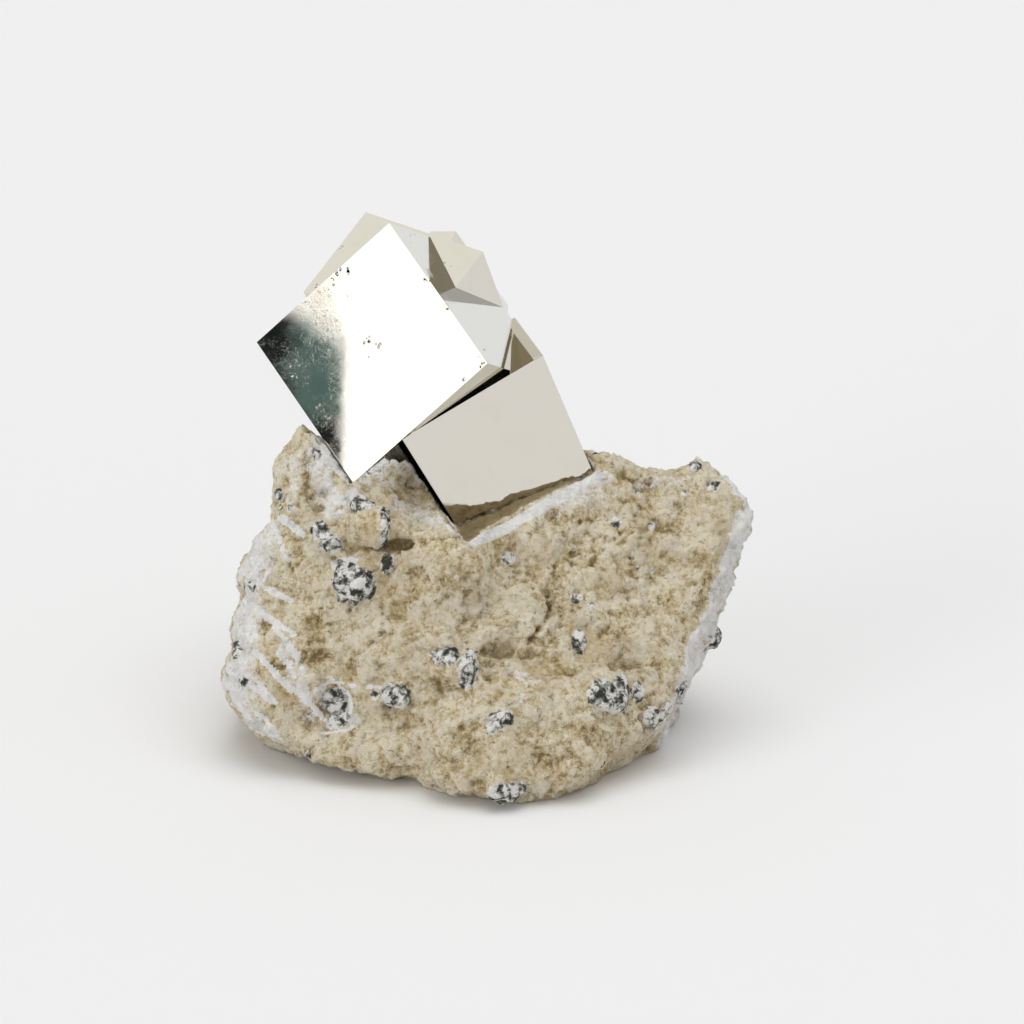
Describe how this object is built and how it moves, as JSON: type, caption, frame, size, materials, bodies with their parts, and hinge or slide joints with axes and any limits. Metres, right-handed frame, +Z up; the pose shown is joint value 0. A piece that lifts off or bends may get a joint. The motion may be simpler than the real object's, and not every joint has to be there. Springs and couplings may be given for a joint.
{
  "type": "mineral specimen",
  "caption": "Pyrite cubes grown together, mirror bright, set in a broken block of pale marl with dark nodules.",
  "frame": {"origin": "on the floor, under the middle of the bounding box", "axes": "+X to the right, +Y away from the front face of the rock, +Z up"},
  "size_m": [0.0678, 0.0592, 0.0656],
  "materials": {
    "marl": "matte",
    "pyrite": "polished"
  },
  "bodies": {
    "root": {"matrix_rock": "marl", "pyrite_cluster": "pyrite"}
  },
  "joints": []
}
